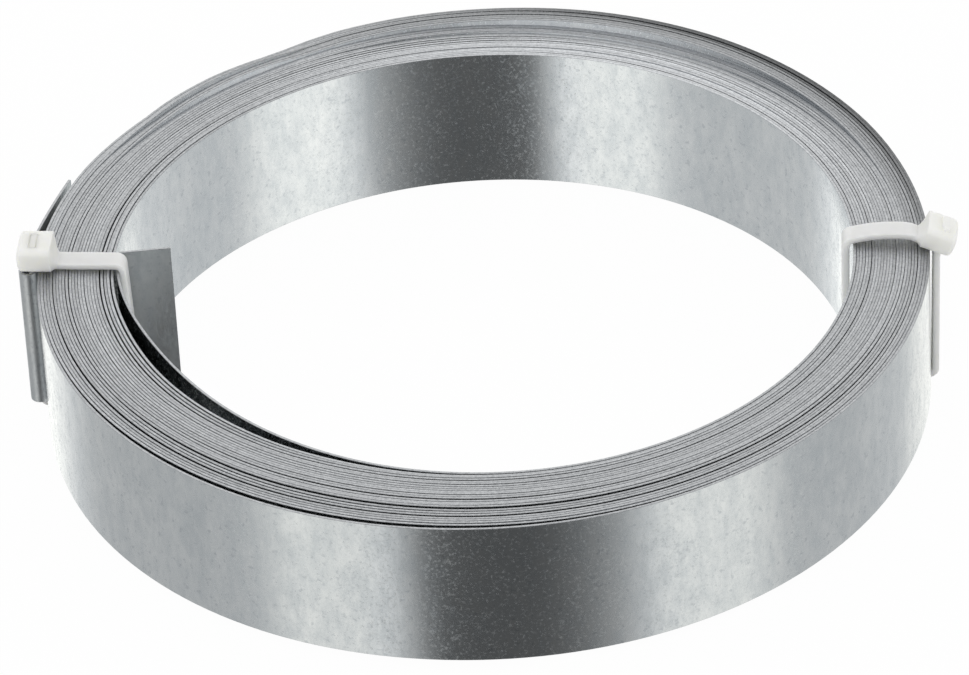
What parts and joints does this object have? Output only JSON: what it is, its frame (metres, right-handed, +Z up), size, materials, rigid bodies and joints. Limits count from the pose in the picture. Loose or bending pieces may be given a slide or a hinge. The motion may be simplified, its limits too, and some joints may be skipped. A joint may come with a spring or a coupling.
{
  "type": "steel strip coil",
  "caption": "Narrow galvanised steel strip wound flat into an open round coil, with folded strip ends and nylon cable ties round the turns.",
  "frame": {"origin": "on the axis of the coil, at the level of the floor under the two ties", "axes": "+Z up along the axis of the coil, +X towards the tie at the right, -X towards the two ends of the strip, +Y to the back"},
  "size_m": [0.1492, 0.1412, 0.031],
  "materials": {
    "galvanised_steel": "hot-dip galvanised, mottled satin, with bare cut edges",
    "natural_nylon": "natural uncoloured nylon, slightly translucent, satin"
  },
  "bodies": {
    "root": {"steel_strip_coil": "galvanised_steel", "cable_tie_left": "natural_nylon", "cable_tie_right": "natural_nylon"}
  },
  "joints": []
}
